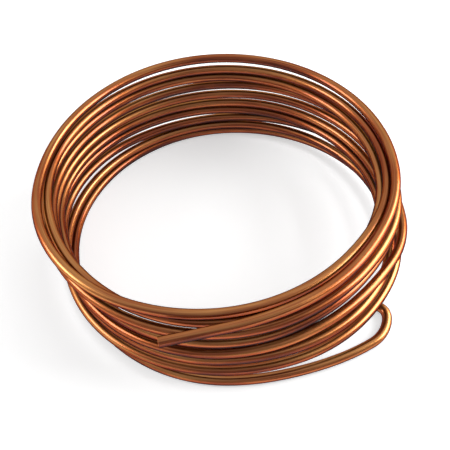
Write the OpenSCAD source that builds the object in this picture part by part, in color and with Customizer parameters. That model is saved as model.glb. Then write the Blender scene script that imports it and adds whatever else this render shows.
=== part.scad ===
// Loose coil of small copper tube, lying flat on the floor.
// Units are millimetres. +X is right and -Y is the front, as the coil is seen; +Z is up.
// The origin is on the coil's axis, at floor level.
// The tube is one hollow length, turned arc by arc round the coil with its bore open end to end.

/* [Tube] */
// Outside diameter of the tube
tube_od = 3.175; // [2.8:0.025:3.2]
// Diameter of the tube's bore
bore_d = 1.8; // [0.8:0.1:2.2]

/* [Coil] */
// Mean radius of the coil, from its axis to the middle of the tube
coil_r = 56.8; // [54.8:0.5:61.8]
// How far the turns are drawn apart, as a share of the coil as seen
spread = 1; // [0.98:0.01:1.2]

/* [Cut end] */
// Length of the straight stub at the open cut end
stub_len = 18.5; // [9:0.5:21]
// Rise of the stub for each unit of its length
stub_rise = 0.1; // [0.06:0.01:0.14]
// How far the stub swings out of the coil for each unit of its length
stub_swing = 0.1; // [0.06:0.01:0.14]

/* [Bent end] */
// Length of the tail that is tucked under the second turn
tail_len = 7; // [3.5:0.5:9]

/* [Hidden] */
copper = [0.55, 0.31, 0.17];
tube_r = tube_od / 2;
bore_r = bore_d / 2;
// every second arc is this much smaller outside and in its bore, and laps this far into its neighbours
seam = 0.06;
bore_seam = 0.11;
lap = 0.3;
facets = 48;
// millimetres to one unit of the winding's tables below
step = 0.88;

// Winding: each row is one turn from the cut end down, and each column one azimuth round the coil:
// front, front right, right, back, back left, left
spots = [-90, -45, -5, 90, 158, 205];
// How far the middle of the tube lies outside the mean radius
out = [
    [ 0.5, -2.2, -0.7,  0.0, -0.8, -0.1],
    [-6.0, -6.7, -3.2, -0.8, -1.6, -4.0],
    [-5.0, -6.9, -5.0, -1.0, -0.8, -1.6],
    [-2.6, -2.0,  1.2, -1.0, -0.8, -4.0],
    [-2.6, -2.4,  0.8, -1.4, -0.8, -4.6],
    [-5.8, -4.6, -1.4, -1.6, -0.9, -6.8],
    [-7.6, -6.2, -2.9, -1.6, -0.2, -5.2],
    [-2.7, -0.8,  5.2, -2.0, -0.8, -5.6],
    [-2.5,  0.6,  1.0, -2.5, -3.2, -3.8],
    [-2.3,  1.6,  4.4, -1.3, -4.6, -6.0],
    [-2.1]];
// How far the tube's lowest line lies above the floor
lift = [
    [39.4, 39.5, 39.6, 39.5, 39.2, 38.8],
    [37.8, 37.4, 36.4, 34.4, 34.8, 35.6],
    [34.0, 33.4, 32.5, 30.5, 30.6, 31.0],
    [30.7, 30.4, 28.4, 26.0, 25.4, 25.2],
    [25.2, 24.9, 23.4, 21.3, 21.0, 20.8],
    [22.2, 21.5, 19.4, 16.7, 16.4, 16.9],
    [18.8, 17.8, 15.6, 12.6, 12.3, 12.1],
    [18.2, 17.8, 13.6,  8.0,  8.2,  8.2],
    [14.0, 13.0,  8.6,  4.1,  4.1,  4.2],
    [ 7.0,  5.8,  3.4,  0.0,  0.0,  0.0],
    [ 0.0]];
// Route of the bent end on the floor: distance outside the mean radius, azimuth, heading
hook = [
    [2.4, -62,  14],
    [8.4, -45,  28],
    [7.9, -36,  76],
    [3.8, -33, 140]];

per_turn = len(spots);
wound = per_turn * (len(out) - 1);
function unit(v) = v / norm(v);
function azimuth(i) = 360 * floor(i / per_turn) + spots[i % per_turn];
function reach(i) = coil_r + step * out[floor(i / per_turn)][i % per_turn];
function height(i) = tube_r + spread * step * lift[floor(i / per_turn)][i % per_turn];
function around(r, a, z) = [r * cos(a), r * sin(a), z];

// Knots of the tube's middle line: those of the winding, then the bent end
function bent(k) = around(coil_r + step * hook[k][0], hook[k][1], tube_r);
function knot(i) = i <= wound ? around(reach(i), azimuth(i), height(i)) : bent(i - wound - 1);

// Directions of the middle line there
function slope(i) =
    let (a = azimuth(i),
         w = (azimuth(i + 1) - azimuth(i - 1)) * PI / 180,
         dr = (reach(i + 1) - reach(i - 1)) / w,
         dz = height(i) == tube_r ? 0 : (height(i + 1) - height(i - 1)) / w)
    unit([dr * cos(a) - reach(i) * sin(a), dr * sin(a) + reach(i) * cos(a), dz]);
function heading(i) =
    i == 0 ? unit([1, stub_swing, stub_rise]) :
    i < wound ? slope(i) :
    i == wound ? unit([1, -0.06, 0]) :
    [cos(hook[i - wound - 1][2]), sin(hook[i - wound - 1][2]), 0];
knots = wound + len(hook);

// Where two arcs meet that join two knots smoothly
function joint(p0, t0, p1, t1) =
    let (v = p1 - p0, vt = v * (t0 + t1), den = 2 * (1 - t0 * t1),
         d = (-vt + sqrt(vt * vt + den * (v * v))) / den)
    (p0 + p1 + d * (t0 - t1)) / 2;

// Section of the tube's wall; the lapped arcs are a little smaller with the same area
module wall(lapped) {
    difference() {
        circle(tube_r - (lapped ? seam : 0), $fn = facets);
        circle(bore_r - (lapped ? bore_seam : 0), $fn = facets);
    }
}

// One arc of tube from p0, leaving along t0 and ending at p1
module arc(p0, t0, p1, lapped) {
    c = p1 - p0;
    n = unit(cross(t0, c));
    m = cross(n, t0);
    r = (c * c) / (2 * (c * m));
    o = p0 + r * m;
    e = lapped ? lap / r * 180 / PI : 0;
    multmatrix([[-m[0], t0[0], n[0], o[0]],
                [-m[1], t0[1], n[1], o[1]],
                [-m[2], t0[2], n[2], o[2]],
                [0, 0, 0, 1]])
        rotate_extrude(angle = 2 * atan2(c * m, c * t0) + 2 * e, start = -e, $fn = facets)
            translate([r, 0])
                wall(lapped);
}

// A straight length of tube from p along t
module straight(p, t, length, lapped) {
    x = unit(cross(t, [0, 0, 1]));
    y = cross(t, x);
    multmatrix([[x[0], y[0], t[0], p[0]],
                [x[1], y[1], t[1], p[1]],
                [x[2], y[2], t[2], p[2]],
                [0, 0, 0, 1]])
        linear_extrude(height = length)
            wall(lapped);
}

// Copper tube: the stub at the cut end, ten turns and a bit, the bend and the tail
module copper_tube() {
    color(copper)
    union() {
        straight(knot(0) - stub_len * heading(0), heading(0), stub_len, false);
        for (i = [0 : knots - 1]) {
            p0 = knot(i);
            t0 = heading(i);
            p1 = knot(i + 1);
            j = joint(p0, t0, p1, heading(i + 1));
            u = unit(j - p0);
            arc(p0, t0, j, true);
            arc(j, 2 * (t0 * u) * u - t0, p1, false);
        }
        straight(knot(knots) - lap * heading(knots), heading(knots), tail_len + lap, true);
    }
}

copper_tube();
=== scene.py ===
"""A loose coil of small copper tube, lying flat on a pale floor under soft studio light."""

import bpy
import numpy as np
from mathutils import Matrix, Vector


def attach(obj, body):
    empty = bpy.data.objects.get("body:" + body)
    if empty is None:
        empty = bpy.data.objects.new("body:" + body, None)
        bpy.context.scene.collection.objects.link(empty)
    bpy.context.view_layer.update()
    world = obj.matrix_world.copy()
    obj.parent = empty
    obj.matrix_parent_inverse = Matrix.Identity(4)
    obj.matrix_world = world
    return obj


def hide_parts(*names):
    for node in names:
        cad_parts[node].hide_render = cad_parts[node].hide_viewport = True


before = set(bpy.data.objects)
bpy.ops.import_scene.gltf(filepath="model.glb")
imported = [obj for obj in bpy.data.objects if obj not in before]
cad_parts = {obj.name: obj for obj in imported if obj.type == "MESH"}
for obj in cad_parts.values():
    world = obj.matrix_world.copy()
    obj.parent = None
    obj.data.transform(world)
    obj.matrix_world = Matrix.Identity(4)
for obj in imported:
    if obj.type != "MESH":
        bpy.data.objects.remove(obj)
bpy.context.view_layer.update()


# Copper tube: the route of its middle line, in millimetres.
# One length of soft drawn tube, wound by hand into ten loose turns and a bit.
# It starts at the cut end on top, goes down turn by turn and ends in the hook on the floor.
TUBE_R = 1.5875
BORE_R = 0.9
COIL_R = 56.8
STUB_LENGTH = 18.5
STUB_HEADING = (1.0, 0.1, 0.1)
FRONT_HEADING = (1.0, -0.06, 0.0)
TAIL_LENGTH = 7.0
ARC_STEPS = 14
STRAIGHT_STEPS = 10

# azimuths of the knots in each turn: front, front right, right, back, back left, left
SPOTS = (-90, -45, -5, 90, 158, 205)
# millimetres to one unit of the tables below
STEP = 0.88
# how far the middle of the tube lies outside the mean radius, one row for each turn
OUT = (
    (0.5, -2.2, -0.7, 0.0, -0.8, -0.1),
    (-6.0, -6.7, -3.2, -0.8, -1.6, -4.0),
    (-5.0, -6.9, -5.0, -1.0, -0.8, -1.6),
    (-2.6, -2.0, 1.2, -1.0, -0.8, -4.0),
    (-2.6, -2.4, 0.8, -1.4, -0.8, -4.6),
    (-5.8, -4.6, -1.4, -1.6, -0.9, -6.8),
    (-7.6, -6.2, -2.9, -1.6, -0.2, -5.2),
    (-2.7, -0.8, 5.2, -2.0, -0.8, -5.6),
    (-2.5, 0.6, 1.0, -2.5, -3.2, -3.8),
    (-2.3, 1.6, 4.4, -1.3, -4.6, -6.0),
    (-2.1,),
)
# how far the tube's lowest line lies above the floor there
LIFT = (
    (39.4, 39.5, 39.6, 39.5, 39.2, 38.8),
    (37.8, 37.4, 36.4, 34.4, 34.8, 35.6),
    (34.0, 33.4, 32.5, 30.5, 30.6, 31.0),
    (30.7, 30.4, 28.4, 26.0, 25.4, 25.2),
    (25.2, 24.9, 23.4, 21.3, 21.0, 20.8),
    (22.2, 21.5, 19.4, 16.7, 16.4, 16.9),
    (18.8, 17.8, 15.6, 12.6, 12.3, 12.1),
    (18.2, 17.8, 13.6, 8.0, 8.2, 8.2),
    (14.0, 13.0, 8.6, 4.1, 4.1, 4.2),
    (7.0, 5.8, 3.4, 0.0, 0.0, 0.0),
    (0.0,),
)
# the hook on the floor: distance outside the mean radius, azimuth, heading
HOOK = (
    (2.4, -62, 14),
    (8.4, -45, 28),
    (7.9, -36, 76),
    (3.8, -33, 140),
)


def unit(v):
    """Vectors of length one along the rows of v."""
    return v / np.linalg.norm(v, axis=-1, keepdims=True)


def dot(a, b):
    """Dot product of each row of a with the same row of b, kept as a column."""
    return np.sum(a * b, axis=-1, keepdims=True)


def knots_and_headings():
    """Points that the middle line passes and its direction at each.
    A wound knot is reach * (cos a, sin a) at its height. Its direction is the derivative of that by a,
    with the slopes of reach and height taken from the knots on either side, and level on the floor."""
    reach = COIL_R + STEP * np.concatenate(OUT)
    height = TUBE_R + STEP * np.concatenate(LIFT)
    turns = 2 * np.pi * np.arange(len(OUT))[:, None]
    azimuth = (turns + np.radians(SPOTS)).ravel()[:reach.size]
    radial = np.column_stack([np.cos(azimuth), np.sin(azimuth), np.zeros(reach.size)])
    across = np.column_stack([-np.sin(azimuth), np.cos(azimuth), np.zeros(reach.size)])
    wound = reach[:, None] * radial + height[:, None] * (0, 0, 1)
    span = azimuth[2:] - azimuth[:-2]
    reach_slope = (reach[2:] - reach[:-2]) / span
    height_slope = np.where(height[1:-1] == TUBE_R, 0, (height[2:] - height[:-2]) / span)
    heading = (
        reach_slope[:, None] * radial[1:-1]
        + reach[1:-1, None] * across[1:-1]
        + height_slope[:, None] * (0, 0, 1)
    )
    out, angle, course = np.array(HOOK, float).T
    bent_reach = COIL_R + STEP * out
    angle = np.radians(angle)
    course = np.radians(course)
    floor_line = np.full(out.size, TUBE_R)
    bent = np.column_stack(
        [bent_reach * np.cos(angle), bent_reach * np.sin(angle), floor_line]
    )
    bent_heading = np.column_stack([np.cos(course), np.sin(course), np.zeros(out.size)])
    points = np.vstack([wound, bent])
    return points, unit(np.vstack([[STUB_HEADING], heading, [FRONT_HEADING], bent_heading]))


def arcs_between(points, headings):
    """Middle line through the knots, two circular arcs to a span that meet on the same tangent.
    They meet halfway between p0 + arm * t0 and p1 - arm * t1, which lie twice the arm apart.
    An arc from p along t turns by twice the angle between t and its chord:
    p + r * (sin f * t + (1 - cos f) * m), where m is square to t towards the chord."""
    p0, p1 = points[:-1], points[1:]
    t0, t1 = headings[:-1], headings[1:]
    gap = p1 - p0
    gap_along = dot(gap, t0 + t1)
    swing = 2 * (1 - dot(t0, t1))
    arm = (-gap_along + np.sqrt(gap_along**2 + swing * dot(gap, gap))) / swing
    meet = (p0 + p1 + arm * (t0 - t1)) / 2
    to_meet = unit(meet - p0)
    t_meet = 2 * dot(t0, to_meet) * to_meet - t0
    start = np.stack([p0, meet], axis=1).reshape(-1, 3)
    end = np.stack([meet, p1], axis=1).reshape(-1, 3)
    t = np.stack([t0, t_meet], axis=1).reshape(-1, 3)
    chord = end - start
    m = np.cross(unit(np.cross(t, chord)), t)
    r = dot(chord, chord) / (2 * dot(chord, m))
    f = 2 * np.arctan2(dot(chord, m), dot(chord, t)) * np.arange(ARC_STEPS) / ARC_STEPS
    sin_f, cos_f = np.sin(f)[..., None], np.cos(f)[..., None]
    path = start[:, None] + r[..., None] * (sin_f * t[:, None] + (1 - cos_f) * m[:, None])
    along = cos_f * t[:, None] + sin_f * m[:, None]
    return path.reshape(-1, 3), along.reshape(-1, 3)


# Copper tube: its wall, carried along the route.
# One closed skin: the outside, the rim at the tail, the bore and the rim at the cut end.
# Both rims are sawn, then broken by hand with a file, which leaves a narrow bevel on the edges.
MM = 0.001
SIDES = 32
RIM_BEVEL = 0.12
SHARP_EDGE = np.radians(30)

points, headings = knots_and_headings()
arc_path, arc_along = arcs_between(points, headings)
back_off = np.linspace(STUB_LENGTH - RIM_BEVEL, 0, STRAIGHT_STEPS, endpoint=False)[:, None]
go_on = np.linspace(0, TAIL_LENGTH - RIM_BEVEL, STRAIGHT_STEPS)[:, None]
path = np.vstack(
    [points[0] - back_off * headings[0], arc_path, points[-1] + go_on * headings[-1]]
)
along = np.vstack(
    [
        np.repeat(headings[:1], STRAIGHT_STEPS, axis=0),
        arc_along,
        np.repeat(headings[-1:], STRAIGHT_STEPS, axis=0),
    ]
)
cut_face = path[:1] - RIM_BEVEL * along[:1]
tail_face = path[-1:] + RIM_BEVEL * along[-1:]
distance = np.concatenate([[0], np.cumsum(np.linalg.norm(np.diff(path, axis=0), axis=1))])


def tube_skin(centre, direction, radius, around):
    """Rings of points round a path: centre + radius * (cos q * side + sin q * up) for each q in around,
    where side is level and square to the path, and up is square to both."""
    side = unit(np.cross(direction, (0, 0, 1)))
    up = np.cross(side, direction)
    across = np.cos(around)[None, :, None] * side[:, None]
    upward = np.sin(around)[None, :, None] * up[:, None]
    return centre[:, None] + radius[:, None, None] * (across + upward)


# the bore is hidden, so it takes every second ring
count = len(path)
bore = np.append(np.arange(count - 1, 0, -2), 0)
order = np.concatenate([np.arange(count), [count - 1] * 2, bore, [0] * 2])
centre = np.vstack([path, tail_face, tail_face, path[bore], cut_face, cut_face])
radius = np.concatenate(
    [
        np.full(count, TUBE_R),
        [TUBE_R - RIM_BEVEL, BORE_R + RIM_BEVEL],
        np.full(bore.size, BORE_R),
        [BORE_R + RIM_BEVEL, TUBE_R - RIM_BEVEL],
    ]
)
around = 2 * np.pi * np.arange(SIDES) / SIDES
skin = tube_skin(centre, along[order], radius, around)

# each ring joins the next, and the last joins the first, so the skin is closed
ring_no, side_no = np.meshgrid(np.arange(len(order)), np.arange(SIDES), indexing="ij")
next_ring = (ring_no + 1) % len(order)
next_side = (side_no + 1) % SIDES
quads = np.stack(
    [
        ring_no * SIDES + side_no,
        next_ring * SIDES + side_no,
        next_ring * SIDES + next_side,
        ring_no * SIDES + next_side,
    ],
    axis=-1,
).reshape(-1, 4)

mesh = bpy.data.meshes.new("copper_tube_coil")
mesh.from_pydata((skin.reshape(-1, 3) * MM).tolist(), [], quads.tolist())
mesh.shade_smooth()
mesh.set_sharp_from_angle(angle=SHARP_EDGE)

# where each point lies on the drawn tube: across its section, and its distance from the cut end
drawn = np.empty((len(order), SIDES, 3), np.float32)
drawn[..., 0] = TUBE_R * np.cos(around)
drawn[..., 1] = TUBE_R * np.sin(around)
drawn[..., 2] = distance[order][:, None]
mesh.attributes.new("drawn", "FLOAT_VECTOR", "POINT").data.foreach_set("vector", drawn.ravel())

tube = bpy.data.objects.new("copper_tube_coil", mesh)
scene = bpy.context.scene
scene.collection.objects.link(tube)


# Copper tube: drawn copper, browned by air.
# It was pulled through a die and left until an uneven film of oxide turned it tan to red brown.
# The eye sees satin metal with fine lines along it, pale bright lines and dark lower flanks, which are
# darkened partly by painted shade in the colour.
TAN = "#DE9C58"
BROWN = "#AA5022"
RED_BROWN = "#60220C"
DEEP_BROWN = "#300F08"
# the tones by how bare of film the metal is; with the painted light and shade added, deep brown falls
# mostly underneath and tan mostly on top
TONES = ((0.28, DEEP_BROWN), (0.40, RED_BROWN), (0.50, BROWN), (0.74, TAN))
BARE_BASE = 0.16
# painted light and shade: the top of the tube is painted paler and the underside darker
TOP_LIGHT_UNDER_SHADE = 0.20
# the film dulls the metal at a glancing angle, and its own gloss fades out there
GLANCING_BROWN = "#3C1A0C"
FILM_GLOSS = 0.95
GLOSS_FADE = 0.75
GLOSS_ROUGHNESS = 0.10
PATCH_LENGTH = 38.0
PATCH_WIDTH = 5.0
DIE_LINE_LENGTH = 45.0
# a real die line is about 0.05 mm wide, and is drawn wider here so that it shows
DIE_LINE_WIDTH = 0.4
DIE_LINE_DEPTH = 0.012
DIE_LINE_STRENGTH = 0.5
# the noise of the die lines lies mostly in this range, which gives the metal these roughnesses
LINE_LOW = 0.3
LINE_HIGH = 0.7
SATIN_LOW = 0.25
SATIN_HIGH = 0.38


def linear(hex_colour):
    """An sRGB hex value as linear red, green, blue and alpha."""
    share = np.array([int(hex_colour[i:i + 2], 16) for i in (1, 3, 5)]) / 255
    rgb = np.where(share <= 0.04045, share / 12.92, ((share + 0.055) / 1.055) ** 2.4)
    return (*rgb.tolist(), 1.0)


def add(tree, kind, inputs=None, **properties):
    """One node of a tree. Each input, by name or number, takes a value or the output that feeds it."""
    node = tree.nodes.new("ShaderNode" + kind)
    for name, value in properties.items():
        setattr(node, name, value)
    for key, value in (inputs or {}).items():
        if isinstance(value, bpy.types.NodeSocket):
            tree.links.new(value, node.inputs[key])
        else:
            node.inputs[key].default_value = value
    return node


copper = bpy.data.materials.new("drawn_copper_browned")
copper.use_nodes = True
tree = copper.node_tree
tree.nodes.clear()
place = add(tree, "Attribute", attribute_name="drawn").outputs["Vector"]
patch_scale = (1 / PATCH_WIDTH, 1 / PATCH_WIDTH, 1 / PATCH_LENGTH)
patch_at = add(tree, "VectorMath", {0: place, 1: patch_scale}, operation="MULTIPLY").outputs[0]
patch = add(
    tree, "TexNoise", {"Vector": patch_at, "Scale": 1.0, "Detail": 4.0, "Roughness": 0.55}
).outputs[0]
line_scale = (1 / DIE_LINE_WIDTH, 1 / DIE_LINE_WIDTH, 1 / DIE_LINE_LENGTH)
line_at = add(tree, "VectorMath", {0: place, 1: line_scale}, operation="MULTIPLY").outputs[0]
line = add(
    tree, "TexNoise", {"Vector": line_at, "Scale": 1.0, "Detail": 3.0, "Roughness": 0.6}
).outputs[0]
film = add(tree, "Math", {0: patch, 1: line, 2: BARE_BASE}, operation="MULTIPLY_ADD").outputs[0]
upward = add(tree, "SeparateXYZ", {0: place}).outputs["Y"]
# painted light and shade: the tone moves towards tan on top of the tube and towards deep brown
# underneath
bare_and_painted_shade = add(tree, "Math", {0: upward, 1: TOP_LIGHT_UNDER_SHADE / TUBE_R, 2: film}, operation="MULTIPLY_ADD")
tone = add(tree, "ValToRGB", {"Fac": bare_and_painted_shade.outputs[0]})
stops = tone.color_ramp.elements
while len(stops) < len(TONES):
    stops.new(1.0)
for stop, (bareness_and_shade, brown) in zip(stops, TONES):
    stop.position = bareness_and_shade
    stop.color = linear(brown)
slant = add(tree, "LayerWeight", {"Blend": GLOSS_FADE}).outputs["Facing"]
gloss = add(tree, "Math", {0: slant, 1: -FILM_GLOSS, 2: FILM_GLOSS}, operation="MULTIPLY_ADD")
satin = add(
    tree,
    "MapRange",
    {
        "Value": line,
        "From Min": LINE_LOW,
        "From Max": LINE_HIGH,
        "To Min": SATIN_LOW,
        "To Max": SATIN_HIGH,
    },
)
groove = add(
    tree, "Bump", {"Height": line, "Strength": DIE_LINE_STRENGTH, "Distance": DIE_LINE_DEPTH * MM}
)
metal = add(
    tree,
    "BsdfPrincipled",
    {
        "Base Color": tone.outputs[0],
        "Metallic": 1.0,
        "Roughness": satin.outputs[0],
        "Normal": groove.outputs[0],
        "Specular Tint": linear(GLANCING_BROWN),
        "Coat Weight": gloss.outputs[0],
        "Coat Roughness": GLOSS_ROUGHNESS,
    },
)
add(tree, "OutputMaterial", {"Surface": metal.outputs[0]})
mesh.materials.append(copper)
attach(tube, "root")
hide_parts("copper_tube")


# Floor: a wide sheet of matt white paper under the coil.
# It takes the coil's soft shadow, and is lifted to white where the camera or the metal sees it.
FLOOR_SIZE = 9.0
FLOOR_WHITE = "#F2F2F2"
FLOOR_LIFT = 0.46
PAPER_ROUGHNESS = 0.5

half = FLOOR_SIZE / 2
floor_mesh = bpy.data.meshes.new("paper_floor")
floor_mesh.from_pydata(
    [(-half, -half, 0), (half, -half, 0), (half, half, 0), (-half, half, 0)], [], [(0, 1, 2, 3)]
)
floor = bpy.data.objects.new("paper_floor", floor_mesh)
scene.collection.objects.link(floor)
paper = bpy.data.materials.new("matt_white_paper")
paper.use_nodes = True
tree = paper.node_tree
tree.nodes.clear()
ray = add(tree, "LightPath").outputs
seen = ray["Is Camera Ray"]
for kind in ("Is Glossy Ray", "Is Transmission Ray"):
    seen = add(tree, "Math", {0: seen, 1: ray[kind]}, operation="MAXIMUM").outputs[0]
lift = add(tree, "Math", {0: seen, 1: FLOOR_LIFT}, operation="MULTIPLY").outputs[0]
matt = add(tree, "BsdfDiffuse", {"Color": linear(FLOOR_WHITE), "Roughness": PAPER_ROUGHNESS})
glow = add(tree, "Emission", {"Strength": lift})
both = add(tree, "AddShader", {0: matt.outputs[0], 1: glow.outputs[0]})
add(tree, "OutputMaterial", {"Surface": both.outputs[0]})
floor_mesh.materials.append(paper)


# Light: a pale room, dimmer behind the camera, with a small soft box on the left and a large one
# on the right. The boxes give the bright lines along the tubes at both sides and the soft shadow.
# The dim side of the room keeps the flanks that face the camera dark.
HORIZON = 0.68
CEILING = 0.62
FRONT = 0.42
# heights and depths of a sight line of length one between which the room's strength changes
HORIZON_HEIGHT = 0.0
CEILING_HEIGHT = 0.8
FRONT_DEPTH = -0.7
BACK_DEPTH = 0.3
# place, width and height of each soft box in metres, and its power in watts
BOXES = (
    ((-0.48, 0.0, 0.30), 0.24, 0.24, 1.0),
    ((0.48, 0.04, 0.24), 0.46, 0.34, 3.6),
)
COIL_MIDDLE = Vector((0, 0, 0.02))

world = bpy.data.worlds.new("studio")
world.use_nodes = True
tree = world.node_tree
tree.nodes.clear()
sight = add(tree, "TexCoord").outputs["Generated"]
toward = add(tree, "SeparateXYZ", {0: sight}).outputs
shade = add(
    tree,
    "MapRange",
    {
        "Value": toward["Z"],
        "From Min": HORIZON_HEIGHT,
        "From Max": CEILING_HEIGHT,
        "To Min": HORIZON,
        "To Max": CEILING,
    },
)
dim = add(
    tree,
    "MapRange",
    {
        "Value": toward["Y"],
        "From Min": FRONT_DEPTH,
        "From Max": BACK_DEPTH,
        "To Min": FRONT,
        "To Max": 1.0,
    },
)
room = add(tree, "Math", {0: shade.outputs[0], 1: dim.outputs[0]}, operation="MULTIPLY")
sky = add(tree, "Background", {"Color": (1, 1, 1, 1), "Strength": room.outputs[0]})
add(tree, "OutputWorld", {"Surface": sky.outputs[0]})
scene.world = world

for number, (spot, width, tall, power) in enumerate(BOXES):
    lamp = bpy.data.lights.new(f"soft_box_{number}", "AREA")
    lamp.shape = "RECTANGLE"
    lamp.size = width
    lamp.size_y = tall
    lamp.energy = power
    box = bpy.data.objects.new(f"soft_box_{number}", lamp)
    box.location = spot
    box.rotation_euler = (COIL_MIDDLE - Vector(spot)).to_track_quat("-Z", "Y").to_euler()
    scene.collection.objects.link(box)


# Camera: in front of the coil and half above it, tilted a little to one side.
# Its place and focal length are set so that the turns fall where the photograph shows them.
LOOK_AT = Vector((1.73, 0.31, 9.15)) * MM
CAMERA_DISTANCE = 256 * MM
ELEVATION = np.radians(51.0)
ROLL = -0.07
FOCAL_PIXELS = 740
IMAGE_PIXELS = 450
SENSOR = 36.0
NEAREST = 0.01

back = Vector((0, -np.cos(ELEVATION), np.sin(ELEVATION)))
level = Vector((1, 0, 0))
upright = Vector((0, np.sin(ELEVATION), np.cos(ELEVATION)))
right = np.cos(ROLL) * level + np.sin(ROLL) * upright
top = -np.sin(ROLL) * level + np.cos(ROLL) * upright
lens = bpy.data.cameras.new("camera")
lens.sensor_width = SENSOR
lens.lens = FOCAL_PIXELS * SENSOR / IMAGE_PIXELS
lens.clip_start = NEAREST
camera = bpy.data.objects.new("camera", lens)
turned = Matrix((right, top, back)).transposed().to_4x4()
camera.matrix_world = Matrix.Translation(LOOK_AT + CAMERA_DISTANCE * back) @ turned
scene.collection.objects.link(camera)
scene.camera = camera
scene.view_settings.view_transform = "Standard"
